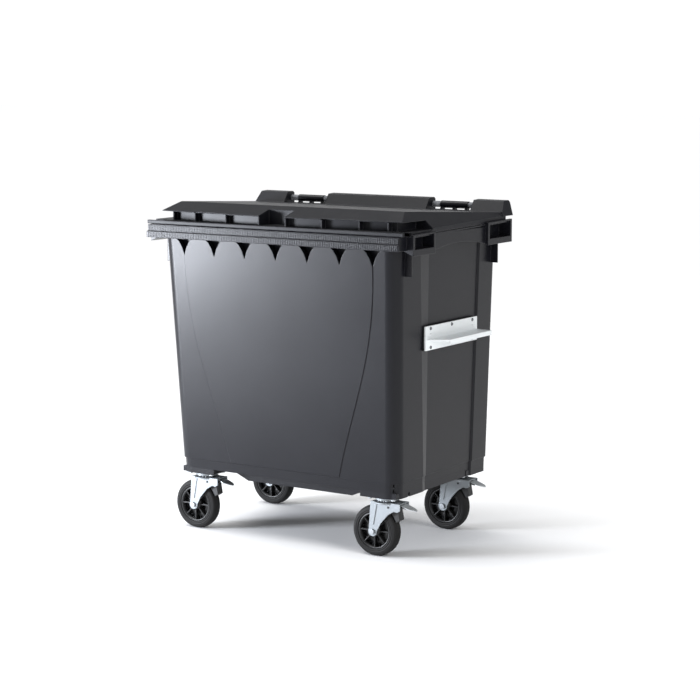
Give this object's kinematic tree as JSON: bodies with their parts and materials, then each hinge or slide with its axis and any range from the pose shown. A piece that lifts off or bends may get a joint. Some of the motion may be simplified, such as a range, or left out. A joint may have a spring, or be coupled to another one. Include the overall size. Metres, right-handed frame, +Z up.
{
  "type": "wheelie bin",
  "caption": "Four-wheeled flat-lid waste container with comb rim, corner grips, side lifting brackets and braked swivel castors.",
  "frame": {"origin": "on the ground, below the middle of the overall box", "axes": "+X along the width, the comb rim at the front faces -Y, +Z is up"},
  "size_m": [1.236, 0.836, 1.34],
  "materials": {
    "body_plastic": "fine satin moulding, anthracite grey",
    "lid_plastic": "fine satin moulding, anthracite grey",
    "black_plastic": "matt black moulding",
    "bush_plastic": "pale grey moulding",
    "seal_rubber": "matt black",
    "tyre_rubber": "matt black solid rubber",
    "zinc_plate": "zinc plated, pale and slightly blue",
    "zinc_fork": "zinc plated, pale and slightly blue",
    "plated_steel": "zinc plated",
    "ball_steel": "polished"
  },
  "bodies": {
    "bin": {"container_body": "body_plastic", "drain_plug": "black_plastic", "drain_seal": "seal_rubber", "side_bracket_left": "zinc_plate", "side_bracket_right": "zinc_plate", "bracket_packings": "zinc_plate", "bracket_bolts": "plated_steel", "bracket_nuts": "plated_steel", "castor_bolts": "plated_steel", "castor_nuts": "plated_steel", "castor_plate_front_left": "zinc_fork", "castor_kingpin_front_left": "plated_steel", "castor_balls_front_left": "ball_steel", "castor_plate_front_right": "zinc_fork", "castor_kingpin_front_right": "plated_steel", "castor_balls_front_right": "ball_steel", "castor_plate_rear_left": "zinc_fork", "castor_kingpin_rear_left": "plated_steel", "castor_balls_rear_left": "ball_steel", "castor_plate_rear_right": "zinc_fork", "castor_kingpin_rear_right": "plated_steel", "castor_balls_rear_right": "ball_steel"},
    "lid": {"lid": "lid_plastic", "hinge_pins": "plated_steel", "hinge_bushes": "bush_plastic"},
    "castor_front_left": {"castor_fork_front_left": "zinc_fork", "axle_bolt_front_left": "plated_steel", "axle_nut_front_left": "plated_steel"},
    "wheel_front_left": {"wheel_bearing_front_left": "plated_steel", "wheel_hub_front_left": "black_plastic", "tyre_front_left": "tyre_rubber"},
    "brake_front_left": {"brake_lever_front_left": "zinc_fork", "brake_pedal_front_left": "zinc_fork"},
    "castor_front_right": {"castor_fork_front_right": "zinc_fork", "axle_bolt_front_right": "plated_steel", "axle_nut_front_right": "plated_steel"},
    "wheel_front_right": {"wheel_bearing_front_right": "plated_steel", "wheel_hub_front_right": "black_plastic", "tyre_front_right": "tyre_rubber"},
    "brake_front_right": {"brake_lever_front_right": "zinc_fork", "brake_pedal_front_right": "zinc_fork"},
    "castor_rear_left": {"castor_fork_rear_left": "zinc_fork", "axle_bolt_rear_left": "plated_steel", "axle_nut_rear_left": "plated_steel"},
    "wheel_rear_left": {"wheel_bearing_rear_left": "plated_steel", "wheel_hub_rear_left": "black_plastic", "tyre_rear_left": "tyre_rubber"},
    "brake_rear_left": {"brake_lever_rear_left": "zinc_fork", "brake_pedal_rear_left": "zinc_fork"},
    "castor_rear_right": {"castor_fork_rear_right": "zinc_fork", "axle_bolt_rear_right": "plated_steel", "axle_nut_rear_right": "plated_steel"},
    "wheel_rear_right": {"wheel_bearing_rear_right": "plated_steel", "wheel_hub_rear_right": "black_plastic", "tyre_rear_right": "tyre_rubber"},
    "brake_rear_right": {"brake_lever_rear_right": "zinc_fork", "brake_pedal_rear_right": "zinc_fork"}
  },
  "joints": [
    {"name": "lid_hinge", "type": "hinge", "parent": "bin", "child": "lid", "pos_m": [0, 0.402, 1.313], "axis": [-1, 0, 0], "range_deg": [0, 240]},
    {"name": "swivel_front_left", "type": "hinge", "parent": "bin", "child": "castor_front_left", "pos_m": [-0.4325, -0.243, 0.23], "axis": [0, 0, 1], "continuous": true},
    {"name": "spin_front_left", "type": "hinge", "parent": "castor_front_left", "child": "wheel_front_left", "pos_m": [-0.4775, -0.243, 0.1], "axis": [0, 1, 0], "continuous": true},
    {"name": "brake_front_left", "type": "hinge", "parent": "castor_front_left", "child": "brake_front_left", "pos_m": [-0.4065, -0.243, 0.202], "axis": [0, 1, 0], "range_deg": [0, 4.6]},
    {"name": "swivel_front_right", "type": "hinge", "parent": "bin", "child": "castor_front_right", "pos_m": [0.4325, -0.243, 0.23], "axis": [0, 0, 1], "continuous": true},
    {"name": "spin_front_right", "type": "hinge", "parent": "castor_front_right", "child": "wheel_front_right", "pos_m": [0.3875, -0.243, 0.1], "axis": [0, 1, 0], "continuous": true},
    {"name": "brake_front_right", "type": "hinge", "parent": "castor_front_right", "child": "brake_front_right", "pos_m": [0.4585, -0.243, 0.202], "axis": [0, 1, 0], "range_deg": [0, 4.6]},
    {"name": "swivel_rear_left", "type": "hinge", "parent": "bin", "child": "castor_rear_left", "pos_m": [-0.4325, 0.287, 0.23], "axis": [0, 0, 1], "continuous": true},
    {"name": "spin_rear_left", "type": "hinge", "parent": "castor_rear_left", "child": "wheel_rear_left", "pos_m": [-0.4775, 0.287, 0.1], "axis": [0, 1, 0], "continuous": true},
    {"name": "brake_rear_left", "type": "hinge", "parent": "castor_rear_left", "child": "brake_rear_left", "pos_m": [-0.4065, 0.287, 0.202], "axis": [0, 1, 0], "range_deg": [0, 4.6]},
    {"name": "swivel_rear_right", "type": "hinge", "parent": "bin", "child": "castor_rear_right", "pos_m": [0.4325, 0.287, 0.23], "axis": [0, 0, 1], "continuous": true},
    {"name": "spin_rear_right", "type": "hinge", "parent": "castor_rear_right", "child": "wheel_rear_right", "pos_m": [0.3875, 0.287, 0.1], "axis": [0, 1, 0], "continuous": true},
    {"name": "brake_rear_right", "type": "hinge", "parent": "castor_rear_right", "child": "brake_rear_right", "pos_m": [0.4585, 0.287, 0.202], "axis": [0, 1, 0], "range_deg": [0, 4.6]}
  ]
}
